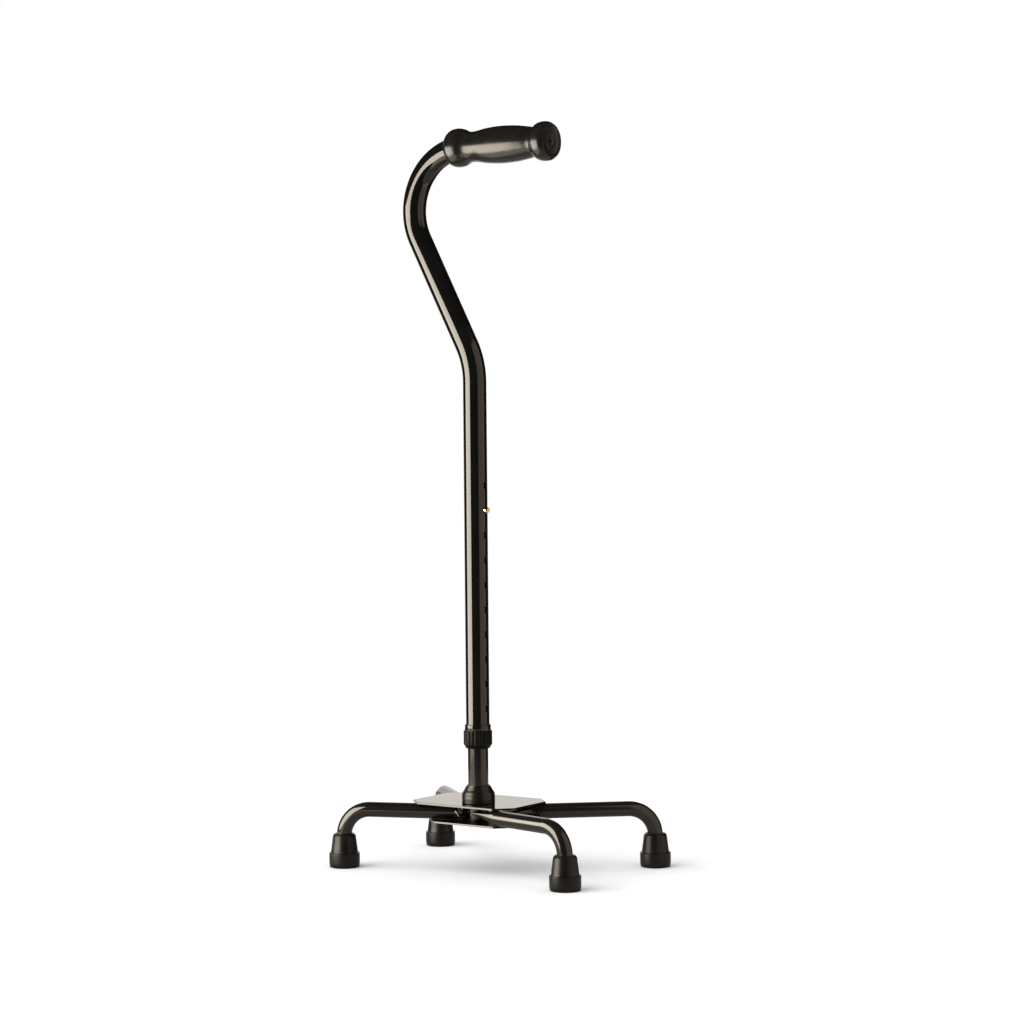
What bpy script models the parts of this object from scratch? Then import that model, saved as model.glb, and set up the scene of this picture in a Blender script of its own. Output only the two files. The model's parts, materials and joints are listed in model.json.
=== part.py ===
"""Height-adjustable walking cane with an offset handle, on a wide base of splayed legs.

Metres, +Z up. The origin is on the floor at the centre of the feet. The handle
points along +X and the shaft stands nearer the -Y feet than the +Y ones.
"""

from math import cos, hypot, pi, radians, sin, sqrt, tan

import bmesh
import bpy
from mathutils import Vector

# Driving dimensions -----------------------------------------------------------------
GAP = 0.0003  # clearance kept between neighbouring solids

FOOT_X = 0.1375  # foot centres
FOOT_Y = 0.085
SHAFT_Y = -0.037  # shaft axis, at X = 0

TUBE_R = 0.0121  # handle tube, outside
POST_R = 0.0104  # post tube, outside
TUBE_WALL = 0.00125
POST_TOP_Z = 0.4150
TUBE_BOTTOM_Z = 0.1470
TUBE_END_X = 0.0880  # the tube's open end, inside the grip

HOLE_PITCH = 0.0254
HOLE_COUNT = 10
HOLE_R = 0.0036
TOP_HOLE_Z = 0.3970
BUTTON_Z = TOP_HOLE_Z - HOLE_PITCH  # the button sits in the second hole from the top
BUTTON_R = 0.00325
BUTTON_TIP_X = 0.0168
BUTTON_FLANGE_R = 0.0046
BUTTON_FLANGE_X = (0.0064, 0.0074)

OFFSET_BEND_Z = 0.5022  # where the handle tube starts to lean back
OFFSET_BEND_R = 0.083
LEAN = radians(27.7)
LEAN_LENGTH = 0.1236
CROOK_R = 0.06235
GRIP_START_X = -0.026
GRIP_END_X = 0.097

LEG_R = 0.0079
LEG_WALL = 0.0015
LEG_Z = 0.0607  # height of the legs' straight runs
LEG_BEND_R = 0.028
FLAT_LENGTH = 0.006  # flattened run at each leg's inner end
FLAT_HALF_WIDTH = 0.0112
FLAT_HALF_THICKNESS = 0.0017

PLATE_THICKNESS = 0.0020
PLATE_EDGE = 0.0006  # rounding of the plates' rims
TOP_PLATE_X = (-0.073, 0.054)
TOP_PLATE_Y = (-0.067, 0.023)
TOP_PLATE_CORNER = 0.016
BOTTOM_PLATE_X = (-0.0577, 0.0577)
BOTTOM_PLATE_Y = (-0.065, 0.015)
BOTTOM_PLATE_CORNER = 0.020
PLATE_CORNER_R = 0.003

BOSS_R = 0.0170
BOSS_TOP_Z = 0.0895

TIP_R = 0.0159
TIP_STEP_Z = 0.0150  # top of the tip's wide foot band
TIP_HEIGHT = 0.035
TIP_BORE_FLOOR = 0.006
TIP_WASHER_THICKNESS = 0.0012

BOLT_R = 0.0039
BOLT_HEAD_HEIGHT = 0.0026
BOLT_WASHER_THICKNESS = 0.0008

ROUND = 24  # sides of the large round pieces
LEG_SIDES = 14
TIP_SIDES = 20
SMALL_ROUND = 16

TUBE_BORE_R = TUBE_R - TUBE_WALL
POST_BORE_R = POST_R - TUBE_WALL
PLATE_UNDERSIDE_Z = LEG_Z + LEG_R + GAP
PLATE_TOP_Z = PLATE_UNDERSIDE_Z + PLATE_THICKNESS
BOTTOM_PLATE_TOP_Z = LEG_Z - LEG_R - GAP
BOTTOM_PLATE_Z = BOTTOM_PLATE_TOP_Z - PLATE_THICKNESS
POST_BOTTOM_Z = BOTTOM_PLATE_TOP_Z + GAP
SHAFT = Vector((0.0, SHAFT_Y, 0.0))


# Scene and materials ----------------------------------------------------------------
def clear_scene():
    for obj in list(bpy.data.objects):
        bpy.data.objects.remove(obj, do_unlink=True)


def material(name, colour, roughness, metallic=0.0):
    made = bpy.data.materials.new(name)
    made.use_nodes = True
    shader = made.node_tree.nodes["Principled BSDF"]
    shader.inputs["Base Color"].default_value = (*colour, 1.0)
    shader.inputs["Roughness"].default_value = roughness
    shader.inputs["Metallic"].default_value = metallic
    return made


def make_materials():
    return {
        "gloss_black": material("gloss_black", (0.018, 0.017, 0.016), 0.18, 0.6),
        "satin_black": material("satin_black", (0.030, 0.026, 0.024), 0.35, 0.6),
        "plate_black": material("plate_black", (0.020, 0.020, 0.020), 0.12, 0.4),
        "grip_vinyl": material("grip_vinyl", (0.016, 0.015, 0.015), 0.30),
        "collar_plastic": material("collar_plastic", (0.022, 0.020, 0.019), 0.42),
        "clear_plastic": material("clear_plastic", (0.65, 0.64, 0.60), 0.45),
        "tip_rubber": material("tip_rubber", (0.045, 0.038, 0.034), 0.75),
        "brass": material("brass", (0.83, 0.60, 0.26), 0.22, 1.0),
        "steel": material("steel", (0.56, 0.56, 0.57), 0.30, 1.0),
    }


# Mesh helpers -----------------------------------------------------------------------
def add_object(name, bm, finish, parent=None, location=(0.0, 0.0, 0.0), sharp=40.0):
    bmesh.ops.recalc_face_normals(bm, faces=bm.faces)
    mesh = bpy.data.meshes.new(name)
    bm.to_mesh(mesh)
    bm.free()
    mesh.shade_smooth()
    mesh.set_sharp_from_angle(angle=radians(sharp))
    mesh.materials.append(finish)
    obj = bpy.data.objects.new(name, mesh)
    obj.location = location
    obj.parent = parent
    bpy.context.scene.collection.objects.link(obj)
    return obj


def add_empty(name, location, parent=None):
    """A guide on a joint's axis, which a moving piece hangs from."""
    empty = bpy.data.objects.new(name, None)
    empty.location = location
    empty.parent = parent
    bpy.context.scene.collection.objects.link(empty)
    return empty


def bridge(bm, ring_a, ring_b):
    count = len(ring_a)
    for i in range(count):
        j = (i + 1) % count
        bm.faces.new((ring_a[i], ring_a[j], ring_b[j], ring_b[i]))


def loft(rings, closed_loop=False):
    """A solid through rings of points: capped at its ends, or joined back on itself."""
    bm = bmesh.new()
    made = [[bm.verts.new(point) for point in ring] for ring in rings]
    for ring_a, ring_b in zip(made, made[1:]):
        bridge(bm, ring_a, ring_b)
    if closed_loop:
        bridge(bm, made[-1], made[0])
    else:
        bm.faces.new(made[0])
        bm.faces.new(made[-1])
    return bm


def circle(radius, height, sides, axis="Z"):
    points = []
    for i in range(sides):
        turn = 2 * pi * i / sides
        a, b = radius * cos(turn), radius * sin(turn)
        points.append((a, b, height) if axis == "Z" else (height, a, b))
    return points


def turned(profile, sides, axis="Z", hollow=True):
    """Profile points are (radius, position along the axis). A hollow one is a closed loop."""
    return loft([circle(r, p, sides, axis) for r, p in profile], closed_loop=hollow)


def box(size, centre):
    bm = bmesh.new()
    bmesh.ops.create_cube(bm, size=1.0)
    bmesh.ops.scale(bm, vec=size, verts=bm.verts)
    bmesh.ops.translate(bm, vec=centre, verts=bm.verts)
    return bm


def cylinder_cutter(name, radius, start, end, sides):
    """A hidden closed cylinder between two points, for a Boolean."""
    start, end = Vector(start), Vector(end)
    along = (end - start).normalized()
    side = along.orthogonal().normalized()
    other = along.cross(side)
    rings = []
    for centre in (start, end):
        ring = []
        for i in range(sides):
            turn = 2 * pi * i / sides
            ring.append(centre + radius * (cos(turn) * side + sin(turn) * other))
        rings.append(ring)
    return hidden_cutter(name, loft(rings))


def hidden_cutter(name, bm):
    bmesh.ops.recalc_face_normals(bm, faces=bm.faces)
    mesh = bpy.data.meshes.new(name)
    bm.to_mesh(mesh)
    bm.free()
    cutter = bpy.data.objects.new(name, mesh)
    cutter.hide_render = True
    cutter.display_type = "WIRE"
    bpy.context.scene.collection.objects.link(cutter)
    return cutter


def cut(obj, cutter):
    modifier = obj.modifiers.new("cut_" + cutter.name, "BOOLEAN")
    modifier.operation = "DIFFERENCE"
    modifier.solver = "EXACT"
    modifier.object = cutter


def merged(meshes):
    """Several bmeshes in one, as separate closed bodies."""
    whole = bmesh.new()
    for bm in meshes:
        part = bpy.data.meshes.new("part")
        bm.to_mesh(part)
        bm.free()
        whole.from_mesh(part)
        bpy.data.meshes.remove(part)
    return whole


# Handle tube and grip ---------------------------------------------------------------
def arc(centre, radius, start, end, steps):
    """Points (x, z) on an arc, without its first point."""
    points = []
    for i in range(1, steps + 1):
        turn = start + (end - start) * i / steps
        points.append((centre[0] + radius * cos(turn), centre[1] + radius * sin(turn)))
    return points


def crook_start():
    x = -OFFSET_BEND_R * (1 - cos(LEAN)) - LEAN_LENGTH * sin(LEAN)
    z = OFFSET_BEND_Z + OFFSET_BEND_R * sin(LEAN) + LEAN_LENGTH * cos(LEAN)
    return x, z


def crook_centre():
    x, z = crook_start()
    return x + CROOK_R * cos(LEAN), z + CROOK_R * sin(LEAN)


GRIP_Z = crook_centre()[1] + CROOK_R


def handle_path(bottom_z, end_x, bend_steps=5, crook_steps=15):
    """Centre line (x, z): up the shaft, back along the lean, over the crook, forward."""
    points = [(0.0, bottom_z), (0.0, OFFSET_BEND_Z)]
    points += arc((-OFFSET_BEND_R, OFFSET_BEND_Z), OFFSET_BEND_R, 0.0, LEAN, bend_steps)
    points.append(crook_start())
    points += arc(crook_centre(), CROOK_R, pi + LEAN, pi / 2, crook_steps)
    points.append((end_x, GRIP_Z))
    return points


def path_frames(path):
    """(point, direction across the tube in the bending plane) at each path point."""
    frames = []
    for i, (x, z) in enumerate(path):
        before = path[max(i - 1, 0)]
        after = path[min(i + 1, len(path) - 1)]
        dx, dz = after[0] - before[0], after[1] - before[1]
        length = hypot(dx, dz)
        frames.append(((x, z), (dz / length, -dx / length)))
    return frames


def ring_across(frame, radius, sides):
    (x, z), (nx, nz) = frame
    points = []
    for i in range(sides):
        turn = 2 * pi * i / sides
        out, side = radius * cos(turn), radius * sin(turn)
        points.append((x + nx * out, side, z + nz * out))
    return points


def tube_along(path, outer, inner, sides):
    frames = path_frames(path)
    rings = [ring_across(frame, outer, sides) for frame in frames]
    rings += [ring_across(frame, inner, sides) for frame in reversed(frames)]
    return loft(rings, closed_loop=True)


def rod_along(path, radius, sides):
    return loft([ring_across(frame, radius, sides) for frame in path_frames(path)])


def make_handle_tube(finish, parent):
    path = handle_path(TUBE_BOTTOM_Z, TUBE_END_X)
    tube = add_object(
        "handle_tube", tube_along(path, TUBE_R, TUBE_BORE_R, ROUND), finish, parent
    )
    reach = TUBE_R + 0.003
    drills = []
    for i in range(HOLE_COUNT):
        z = TOP_HOLE_Z - i * HOLE_PITCH
        drill = turned([(HOLE_R, -reach), (HOLE_R, reach)], 12, "X", hollow=False)
        bmesh.ops.translate(drill, vec=(0.0, 0.0, z), verts=drill.verts)
        drills.append(drill)
    drill_set = hidden_cutter("height_hole_drills", merged(drills))
    drill_set.location = SHAFT
    cut(tube, drill_set)


# Grip radius at stations along its axis, from the back end to the end flange.
GRIP_STATIONS = [
    (GRIP_START_X, 0.0146),
    (-0.0250, 0.0168),
    (-0.0215, 0.0190),
    (-0.0160, 0.0198),
    (-0.0100, 0.0188),
    (-0.0050, 0.0165),
    (0.0005, 0.0154),
    (0.0080, 0.0160),
    (0.0200, 0.0179),
    (0.0370, 0.0189),
    (0.0540, 0.0182),
    (0.0680, 0.0164),
    (0.0765, 0.0150),
    (0.0795, 0.0160),
    (0.0830, 0.0187),
    (0.0880, 0.0199),
    (0.0930, 0.0195),
    (0.0962, 0.0178),
    (GRIP_END_X, 0.0162),
]
GRIP_FACE_RIM_R = 0.0148
GRIP_FACE_RECESS = 0.0010


def make_grip(finish, parent):
    recess_x = GRIP_END_X - GRIP_FACE_RECESS
    profile = [(r, x) for x, r in GRIP_STATIONS]
    profile.append((GRIP_FACE_RIM_R, GRIP_END_X))
    profile.append((GRIP_FACE_RIM_R - GRIP_FACE_RECESS, recess_x))
    body = turned(profile, ROUND, "X", hollow=False)
    grip = add_object("handle_grip", body, finish, parent, (0.0, 0.0, GRIP_Z))
    bore_end_x = TUBE_END_X + 2 * GAP
    path = handle_path(OFFSET_BEND_Z + 0.02, bore_end_x)
    bore = hidden_cutter("grip_bore", rod_along(path, TUBE_R + GAP, ROUND))
    bore.location = SHAFT
    cut(grip, bore)


def make_tube_plug(finish, parent):
    """Plug pressed into the open end of the handle tube, under the grip."""
    radius = TUBE_BORE_R * cos(pi / ROUND) - GAP
    profile = [
        (radius - 0.001, TUBE_END_X - 0.014),
        (radius, TUBE_END_X - 0.012),
        (radius, TUBE_END_X),
    ]
    body = turned(profile, ROUND, "X", hollow=False)
    add_object("handle_tube_plug", body, finish, parent, (0.0, 0.0, GRIP_Z))


# Height lock collar -----------------------------------------------------------------
SLEEVE_TOP_Z = 0.1520
SLEEVE_BOTTOM_Z = 0.1380
SLEEVE_R = 0.0134
THREAD_R = 0.0129
NUT_TOP_Z = 0.1457
NUT_BOTTOM_Z = 0.1275
NUT_R = 0.0147
NUT_VALLEY_R = 0.0142
NUT_LIP_R = 0.0131
NUT_BORE_R = THREAD_R + GAP
NUT_FLUTES = 18
LIP_THICKNESS = 0.0022
POST_CLEAR_R = POST_R + 0.0004
WASHER_THICKNESS = 0.0014


def make_collar_sleeve(finish, parent):
    tube_clear_r = TUBE_R + GAP
    shoulder_z = TUBE_BOTTOM_Z - GAP
    profile = [
        (tube_clear_r, SLEEVE_TOP_Z),
        (SLEEVE_R - 0.0006, SLEEVE_TOP_Z),
        (SLEEVE_R, SLEEVE_TOP_Z - 0.0010),
        (SLEEVE_R, NUT_TOP_Z + GAP),
        (THREAD_R, NUT_TOP_Z + GAP),
        (THREAD_R, SLEEVE_BOTTOM_Z + 0.0005),
        (THREAD_R - 0.0005, SLEEVE_BOTTOM_Z),
        (POST_CLEAR_R, SLEEVE_BOTTOM_Z),
        (POST_CLEAR_R, shoulder_z),
        (tube_clear_r, shoulder_z),
    ]
    add_object("collar_sleeve", turned(profile, ROUND), finish, parent)


def fluted_ring(radius, z, valley_r):
    """Alternate ridge and valley points, so that the ring is fluted unless they agree."""
    points = []
    count = 2 * NUT_FLUTES
    for i in range(count):
        turn = 2 * pi * i / count
        r = radius if i % 2 == 0 else valley_r
        points.append((r * cos(turn), r * sin(turn), z))
    return points


def make_lock_nut(finish, parent):
    lip_z = NUT_BOTTOM_Z + LIP_THICKNESS
    outline = [
        (NUT_BORE_R, NUT_BORE_R, NUT_TOP_Z),
        (NUT_VALLEY_R - 0.0005, NUT_VALLEY_R - 0.0005, NUT_TOP_Z),
        (NUT_R, NUT_VALLEY_R, NUT_TOP_Z - 0.0008),
        (NUT_R, NUT_VALLEY_R, NUT_BOTTOM_Z + 0.0040),
        (NUT_LIP_R, NUT_LIP_R, NUT_BOTTOM_Z + 0.0022),
        (NUT_LIP_R - 0.0012, NUT_LIP_R - 0.0012, NUT_BOTTOM_Z),
        (POST_CLEAR_R, POST_CLEAR_R, NUT_BOTTOM_Z),
        (POST_CLEAR_R, POST_CLEAR_R, lip_z),
        (NUT_BORE_R, NUT_BORE_R, lip_z),
    ]
    rings = [fluted_ring(r, z, valley) for r, valley, z in outline]
    add_object("lock_nut", loft(rings, closed_loop=True), finish, parent, sharp=25.0)


def make_collar_inserts(finishes, washer_parent, ring_parent):
    """Thrust washer on the nut's inner lip, and the split friction ring above it."""
    washer_z = NUT_BOTTOM_Z + LIP_THICKNESS + GAP
    outer_r = NUT_BORE_R - 0.0004
    washer = [
        (outer_r, washer_z + WASHER_THICKNESS),
        (outer_r, washer_z),
        (POST_CLEAR_R, washer_z),
        (POST_CLEAR_R, washer_z + WASHER_THICKNESS),
    ]
    add_object("thrust_washer", turned(washer, ROUND), finishes["steel"], washer_parent)
    low = washer_z + WASHER_THICKNESS + GAP
    high = SLEEVE_BOTTOM_Z - GAP
    ring = [
        (THREAD_R - 0.0008, high),
        (outer_r, high - 0.0012),
        (outer_r, low + 0.0012),
        (THREAD_R - 0.0008, low),
        (POST_CLEAR_R - 0.0001, low),
        (POST_CLEAR_R - 0.0001, high),
    ]
    obj = add_object(
        "friction_ring", turned(ring, ROUND), finishes["clear_plastic"], ring_parent
    )
    slit = hidden_cutter("ring_slit", box((0.004, 0.0012, 0.02), (-0.012, 0.0, 0.134)))
    slit.location = SHAFT
    cut(obj, slit)


# Post, snap button and its spring ---------------------------------------------------
def make_post(finishes, parent):
    profile = [
        (POST_R, POST_TOP_Z),
        (POST_R, POST_BOTTOM_Z),
        (POST_BORE_R, POST_BOTTOM_Z),
        (POST_BORE_R, POST_TOP_Z),
    ]
    post = add_object("post_tube", turned(profile, ROUND), finishes["satin_black"], parent)
    drill = cylinder_cutter(
        "button_hole_drill", HOLE_R, (0.004, 0, BUTTON_Z), (0.014, 0, BUTTON_Z), 12
    )
    drill.location = SHAFT
    cut(post, drill)
    spigot_r = POST_BORE_R * cos(pi / ROUND) - GAP
    head_r = TUBE_BORE_R * cos(pi / ROUND) - 0.0002
    head_z = POST_TOP_Z + GAP
    cap = [
        (0.0030, POST_TOP_Z - 0.0100),
        (spigot_r, POST_TOP_Z - 0.0100),
        (spigot_r, head_z),
        (head_r, head_z),
        (head_r, head_z + 0.0040),
        (head_r - 0.0010, head_z + 0.0050),
        (0.0030, head_z + 0.0050),
    ]
    cap.reverse()
    add_object("post_glide_cap", turned(cap, ROUND), finishes["clear_plastic"], parent)


def make_button(finish, pivot):
    """Domed button with a collar inside the post. Its origin is on the post's axis."""
    shoulder_x = BUTTON_TIP_X - BUTTON_R
    profile = [
        (BUTTON_FLANGE_R, BUTTON_FLANGE_X[0]),
        (BUTTON_FLANGE_R, BUTTON_FLANGE_X[1]),
        (BUTTON_R, BUTTON_FLANGE_X[1]),
        (BUTTON_R, shoulder_x),
    ]
    dome_steps = 5
    for i in range(1, dome_steps):
        turn = pi / 2 * i / dome_steps
        profile.append((BUTTON_R * cos(turn), shoulder_x + BUTTON_R * sin(turn)))
    body = turned(profile, SMALL_ROUND, "X", hollow=False)
    add_object("snap_button", body, finish, pivot)


CLIP_THICKNESS = 0.0007
CLIP_HALF_WIDTH = 0.0035
CLIP_BEND_R = 0.0030
CLIP_DROP = 0.045  # from the button down to the bend
CLIP_LEAF_HALF = 0.008  # half the straight stretch behind the button
CLIP_BUTTON_X = 0.0056  # the leaf just behind the button's flange
CLIP_WALL_X = -0.0078  # the leaf that bears on the post's far wall


def make_clip(finish, parent):
    """V-shaped flat spring: one leaf behind the button, the other on the far wall."""
    bend_z = BUTTON_Z - CLIP_DROP
    centre_x = (CLIP_BUTTON_X + CLIP_WALL_X) / 2
    leaf_top_z, leaf_low_z = BUTTON_Z + CLIP_LEAF_HALF, BUTTON_Z - CLIP_LEAF_HALF
    line = [(CLIP_BUTTON_X, leaf_top_z), (CLIP_BUTTON_X, leaf_low_z)]
    steps = 6
    for i in range(steps + 1):
        turn = pi * i / steps
        line.append((centre_x + CLIP_BEND_R * cos(turn), bend_z - CLIP_BEND_R * sin(turn)))
    line += [(CLIP_WALL_X, leaf_low_z), (CLIP_WALL_X, leaf_top_z)]
    rings = []
    for (x, z), (nx, nz) in path_frames(line):
        half = CLIP_THICKNESS / 2
        low = (x - nx * half, z - nz * half)
        high = (x + nx * half, z + nz * half)
        rings.append(
            [
                (low[0], -CLIP_HALF_WIDTH, low[1]),
                (low[0], CLIP_HALF_WIDTH, low[1]),
                (high[0], CLIP_HALF_WIDTH, high[1]),
                (high[0], -CLIP_HALF_WIDTH, high[1]),
            ]
        )
    add_object("snap_clip", loft(rings), finish, parent)


# Base -------------------------------------------------------------------------------
# Each leg: its foot's corner, its heading in plan from the foot towards the shaft, how far
# its flattened end stops short of the shaft's axis along X, how far that end is pressed down
# below the leg's own axis, and the length over which the round tube turns flat.
LEGS = {
    "near_left": ((-1, -1), radians(20.4), 0.0125, 0.0035, 0.006),
    "near_right": ((1, -1), radians(180 - 14.2), 0.0134, -0.0034, 0.022),
    "far_left": ((-1, 1), radians(-41.5), 0.0195, 0.0, 0.028),
    "far_right": ((1, 1), radians(180 + 41.5), 0.0185, 0.0, 0.028),
}


def leg_run(name):
    """(foot x, foot y, heading in plan, plan distance from the foot to the inner end)."""
    (side, end), heading, short, _, _ = LEGS[name]
    x, y = side * FOOT_X, end * FOOT_Y
    return x, y, heading, (FOOT_X - short) / abs(cos(heading))


def leg_section(half_width, half_height, power, sides):
    """Points (across, up) of a rounded section, from a circle to a flat stadium."""
    points = []
    for i in range(sides):
        turn = 2 * pi * (i + 0.5) / sides
        c, s = cos(turn), sin(turn)
        across = half_width * abs(c) ** (2 / power) * (1 if c > 0 else -1)
        up = half_height * abs(s) ** (2 / power) * (1 if s > 0 else -1)
        points.append((across, up))
    return points


def leg_stations(length, drop, crush_length):
    """(distance from foot in plan, height, tilt of the section, share of the crush)."""
    stations = [(0.0, TIP_BORE_FLOOR + TIP_WASHER_THICKNESS + 2 * GAP, 0.0, 0.0)]
    bend_steps = 6
    for i in range(bend_steps + 1):
        turn = pi / 2 * i / bend_steps
        plan = LEG_BEND_R * (1 - cos(turn))
        stations.append((plan, LEG_Z - LEG_BEND_R + LEG_BEND_R * sin(turn), turn, 0.0))
    crush_start = length - crush_length - FLAT_LENGTH
    crush_steps = 4
    for i in range(crush_steps + 1):
        share = i / crush_steps
        eased = share * share * (3 - 2 * share)
        plan = crush_start + crush_length * share
        stations.append((plan, LEG_Z - drop * eased, pi / 2, eased))
    stations.append((length, LEG_Z - drop, pi / 2, 1.0))
    return stations


def leg_rings(name, shrink):
    """Rings of the leg's outside (shrink 0) or of its bore (shrink = wall)."""
    foot_x, foot_y, heading, length = leg_run(name)
    along = Vector((cos(heading), sin(heading), 0.0))
    across = Vector((-sin(heading), cos(heading), 0.0))
    rings = []
    for plan, z, tilt, crush in leg_stations(length, *LEGS[name][3:]):
        width = LEG_R + (FLAT_HALF_WIDTH - LEG_R) * crush - shrink
        height = LEG_R + (FLAT_HALF_THICKNESS - LEG_R) * crush - shrink
        centre = Vector((foot_x, foot_y, z)) + along * plan
        up = Vector((0.0, 0.0, sin(tilt))) - along * cos(tilt)
        section = leg_section(width, height, 2 + 1.5 * crush, LEG_SIDES)
        rings.append([centre + across * a + up * b for a, b in section])
    return rings


def make_leg(name, finish, parent):
    rings = leg_rings(name, 0.0) + list(reversed(leg_rings(name, LEG_WALL)))
    add_object("leg_" + name, loft(rings, closed_loop=True), finish, parent)


def make_tip(name, finishes, parent):
    (side, end) = LEGS[name][0]
    location = (side * FOOT_X, end * FOOT_Y, 0.0)
    bore_r = LEG_R + 2 * GAP  # the leg starts to bend just inside the mouth
    lip_r = bore_r + 0.0017
    profile = [
        (TIP_R - 0.0012, 0.0),
        (TIP_R, 0.0014),
        (TIP_R, TIP_STEP_Z - 0.0008),
        (TIP_R - 0.0006, TIP_STEP_Z),
        (TIP_R - 0.0017, TIP_STEP_Z + 0.0004),
        (lip_r + 0.0017, TIP_HEIGHT - 0.0024),
        (lip_r + 0.0009, TIP_HEIGHT - 0.0006),
        (lip_r, TIP_HEIGHT),
        (bore_r, TIP_HEIGHT),
        (bore_r, TIP_BORE_FLOOR),
    ]
    rubber = turned(profile, TIP_SIDES, hollow=False)
    add_object("tip_" + name, rubber, finishes["tip_rubber"], parent, location)
    low = TIP_BORE_FLOOR + GAP
    high = low + TIP_WASHER_THICKNESS
    outer = LEG_R - 0.0003
    washer = [(outer, high), (outer, low), (0.0022, low), (0.0022, high)]
    body = turned(washer, SMALL_ROUND)
    add_object("tip_washer_" + name, body, finishes["steel"], parent, location)


def plate_outline(x_span, y_span, corner, inset):
    """Rectangle with cut corners, each bend rounded, moved in by inset all round."""
    x0, x1 = x_span[0] + inset, x_span[1] - inset
    y0, y1 = y_span[0] + inset, y_span[1] - inset
    cut_back = corner - inset * (2 - sqrt(2))
    hard = [
        (x0 + cut_back, y0),
        (x1 - cut_back, y0),
        (x1, y0 + cut_back),
        (x1, y1 - cut_back),
        (x1 - cut_back, y1),
        (x0 + cut_back, y1),
        (x0, y1 - cut_back),
        (x0, y0 + cut_back),
    ]
    soft = []
    trim = PLATE_CORNER_R * tan(pi / 8)
    for i, point in enumerate(hard):
        here = Vector(point)
        before = (Vector(hard[i - 1]) - here).normalized()
        after = (Vector(hard[(i + 1) % len(hard)]) - here).normalized()
        start, end = here + before * trim, here + after * trim
        soft += [start, (start + end + here * 2) / 4, end]
    return soft


def layered_plate(x_span, y_span, corner, layers):
    """A solid through the plate's outline at (inset, z) layers."""
    rings = []
    for inset, z in layers:
        rings.append([(p.x, p.y, z) for p in plate_outline(x_span, y_span, corner, inset)])
    return loft(rings)


def make_plates(finishes, parent):
    """Flat plates above and below the legs, the upper one bored for the post."""
    top = layered_plate(
        TOP_PLATE_X,
        TOP_PLATE_Y,
        TOP_PLATE_CORNER,
        [
            (PLATE_EDGE / 2, PLATE_UNDERSIDE_Z),
            (0.0, PLATE_UNDERSIDE_Z + PLATE_EDGE / 2),
            (0.0, PLATE_TOP_Z - PLATE_EDGE),
            (PLATE_EDGE, PLATE_TOP_Z),
        ],
    )
    top_plate = add_object("top_plate", top, finishes["plate_black"], parent)
    post_drill = cylinder_cutter(
        "post_drill",
        POST_CLEAR_R,
        (0.0, SHAFT_Y, PLATE_UNDERSIDE_Z - 0.002),
        (0.0, SHAFT_Y, PLATE_TOP_Z + 0.002),
        ROUND,
    )
    cut(top_plate, post_drill)

    bottom = layered_plate(
        BOTTOM_PLATE_X,
        BOTTOM_PLATE_Y,
        BOTTOM_PLATE_CORNER,
        [
            (PLATE_EDGE, BOTTOM_PLATE_Z),
            (0.0, BOTTOM_PLATE_Z + PLATE_EDGE),
            (0.0, BOTTOM_PLATE_TOP_Z),
        ],
    )
    bottom_plate = add_object("bottom_plate", bottom, finishes["plate_black"], parent)
    bolt_drill = cylinder_cutter(
        "bolt_drill",
        BOLT_R + GAP,
        (0.0, SHAFT_Y, BOTTOM_PLATE_Z - 0.002),
        (0.0, SHAFT_Y, BOTTOM_PLATE_TOP_Z + 0.002),
        SMALL_ROUND,
    )
    cut(bottom_plate, bolt_drill)


# The boss's shoulder: (radius, height) from its mouth down to its full width.
BOSS_SHOULDER = [
    (0.0122, BOSS_TOP_Z),
    (0.0135, BOSS_TOP_Z - 0.0014),
    (0.0152, BOSS_TOP_Z - 0.0042),
    (0.0166, BOSS_TOP_Z - 0.0075),
    (BOSS_R, BOSS_TOP_Z - 0.0105),
]
BOSS_GROOVE_Z = 0.0745


def make_boss(finish, parent):
    """Ferrule that dresses the post where it goes through the top plate."""
    low = PLATE_TOP_Z + GAP
    profile = [(POST_CLEAR_R, BOSS_TOP_Z)] + BOSS_SHOULDER
    profile += [
        (BOSS_R, BOSS_GROOVE_Z + 0.0005),
        (BOSS_R - 0.0003, BOSS_GROOVE_Z),
        (BOSS_R, BOSS_GROOVE_Z - 0.0005),
        (BOSS_R, low),
        (POST_CLEAR_R, low),
    ]
    add_object("base_boss", turned(profile, ROUND), finish, parent)


def make_post_fixing(finishes, parent):
    """Insert in the foot of the post, and the bolt and washer that pull it down."""
    insert_r = POST_BORE_R * cos(pi / ROUND) - GAP
    insert_top = POST_BOTTOM_Z + 0.0200
    thread_r = BOLT_R + GAP
    insert = [
        (insert_r, insert_top),
        (insert_r, POST_BOTTOM_Z),
        (thread_r, POST_BOTTOM_Z),
        (thread_r, insert_top),
    ]
    add_object("post_insert", turned(insert, ROUND), finishes["steel"], parent)
    washer_top = BOTTOM_PLATE_Z - GAP
    washer_low = washer_top - BOLT_WASHER_THICKNESS
    washer = [
        (0.0085, washer_top),
        (0.0085, washer_low),
        (thread_r, washer_low),
        (thread_r, washer_top),
    ]
    add_object("bolt_washer", turned(washer, SMALL_ROUND), finishes["steel"], parent)
    head_top = washer_low - GAP
    chamfer = 0.0006
    head_low = head_top - BOLT_HEAD_HEIGHT + chamfer
    head_corner_r = 0.0075
    shank_top = insert_top - 0.002
    rings = [
        circle(head_corner_r * cos(pi / 6), head_low - chamfer, ROUND),
        hexagon(head_corner_r, head_low, ROUND),
        hexagon(head_corner_r, head_top, ROUND),
        circle(BOLT_R, head_top, ROUND),
        circle(BOLT_R, shank_top - chamfer, ROUND),
        circle(BOLT_R - chamfer, shank_top, ROUND),
    ]
    add_object("post_bolt", loft(rings), finishes["steel"], parent, sharp=30.0)


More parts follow.
